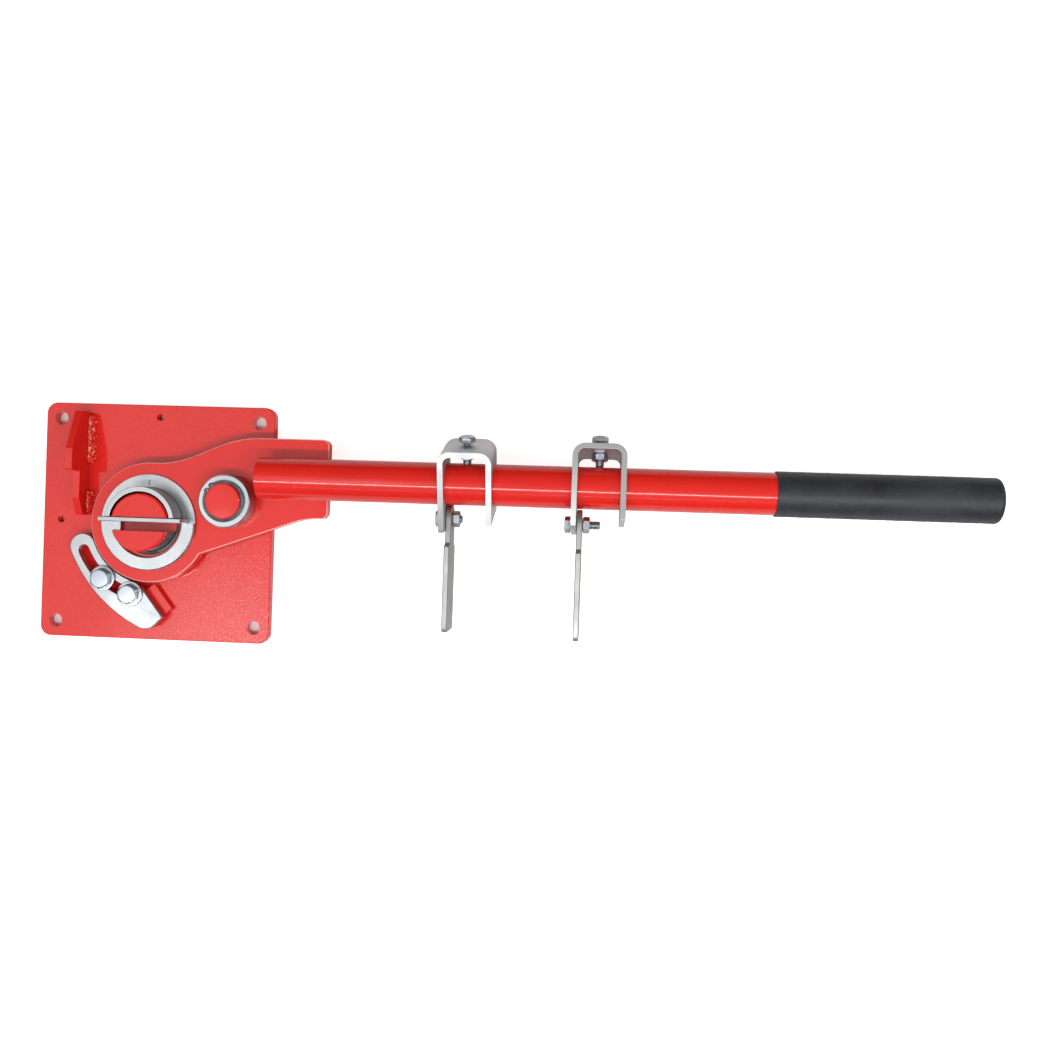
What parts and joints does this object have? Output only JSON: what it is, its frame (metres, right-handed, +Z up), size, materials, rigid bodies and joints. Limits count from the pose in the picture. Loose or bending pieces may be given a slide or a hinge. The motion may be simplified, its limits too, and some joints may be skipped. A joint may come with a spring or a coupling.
{
  "type": "rebar bender",
  "caption": "Bench rebar bender: slotted post with a removable former, a swinging lever with a roller, a slotted angle stop, a notched bracket and sliding gauge clamps on the lever's tube.",
  "frame": {"origin": "on the centre post's axis, at the underside of the base plate", "axes": "+X along the lever at rest, from the post towards the grip; +Y towards the back bracket's hook side and the lever tube's side; +Z up, out of the bench"},
  "size_m": [0.8838, 0.225, 0.0828],
  "materials": {
    "red_paint": "glossy red enamel on steel",
    "satin_zinc": "satin zinc-plated steel, turned or sawn",
    "bright_zinc": "bright zinc-plated fasteners",
    "bronze": "plain bearing bronze",
    "black_grip": "matt black dipped vinyl",
    "spring_steel": "blackened spring steel"
  },
  "bodies": {
    "base": {"base_plate": "red_paint", "center_post": "red_paint", "thrust_washer": "bronze", "back_bracket": "red_paint", "bracket_weld_inner_rear": "red_paint", "bracket_weld_inner_front": "red_paint", "bracket_weld_outer_rear": "red_paint", "bracket_weld_outer_front": "red_paint", "stop_boss": "red_paint", "stop_block": "red_paint", "stop_bolt_1": "bright_zinc", "stop_bolt_2": "bright_zinc", "stop_washer_1": "bright_zinc", "stop_washer_2": "bright_zinc", "former_ring": "satin_zinc", "former_half_sleeve": "satin_zinc", "former_cross_plate": "satin_zinc"},
    "stop": {"stop_plate": "satin_zinc"},
    "lever": {"head_plate": "red_paint", "pivot_bush": "bronze", "handle_tube": "red_paint", "tube_weld_upper": "red_paint", "tube_weld_lower": "red_paint", "grip": "black_grip", "roller_pin": "red_paint", "snap_ring": "spring_steel"},
    "roller": {"roller": "satin_zinc"},
    "inner_clamp": {"inner_clamp_strap": "satin_zinc", "inner_set_bolt": "bright_zinc", "inner_set_nut": "bright_zinc", "inner_pivot_bolt": "bright_zinc", "inner_pivot_nut": "bright_zinc"},
    "inner_finger": {"inner_finger": "satin_zinc"},
    "outer_clamp": {"outer_clamp_strap": "satin_zinc", "outer_set_bolt": "bright_zinc", "outer_set_nut": "bright_zinc", "outer_pivot_bolt": "bright_zinc", "outer_pivot_nut": "bright_zinc"},
    "outer_finger": {"outer_finger": "satin_zinc"}
  },
  "joints": [
    {"name": "lever_swing", "type": "hinge", "parent": "base", "child": "lever", "pos_m": [0, 0, 0.022], "axis": [0, 0, 1], "range_deg": [-72.4, 80]},
    {"name": "roller_spin", "type": "hinge", "parent": "lever", "child": "roller", "pos_m": [0.078, 0.0222, 0.038], "axis": [0, 0, 1], "continuous": true},
    {"name": "stop_adjust", "type": "hinge", "parent": "base", "child": "stop", "pos_m": [0, 0, 0.02], "axis": [0, 0, 1], "range_deg": [-2, 26]},
    {"name": "inner_clamp_slide", "type": "slide", "parent": "lever", "child": "inner_clamp", "axis": [1, 0, 0], "range_m": [-0.1, 0.06]},
    {"name": "inner_finger_swing", "type": "hinge", "parent": "inner_clamp", "child": "inner_finger", "pos_m": [0.284, 0.01282, 0.03639], "axis": [1, 0, 0], "range_deg": [-81, 119]},
    {"name": "outer_clamp_slide", "type": "slide", "parent": "lever", "child": "outer_clamp", "axis": [1, 0, 0], "range_m": [-0.06, 0.13]},
    {"name": "outer_finger_swing", "type": "hinge", "parent": "outer_clamp", "child": "outer_finger", "pos_m": [0.4025, 0.01133, 0.05196], "axis": [1, 0, 0], "range_deg": [-108, 92]}
  ]
}
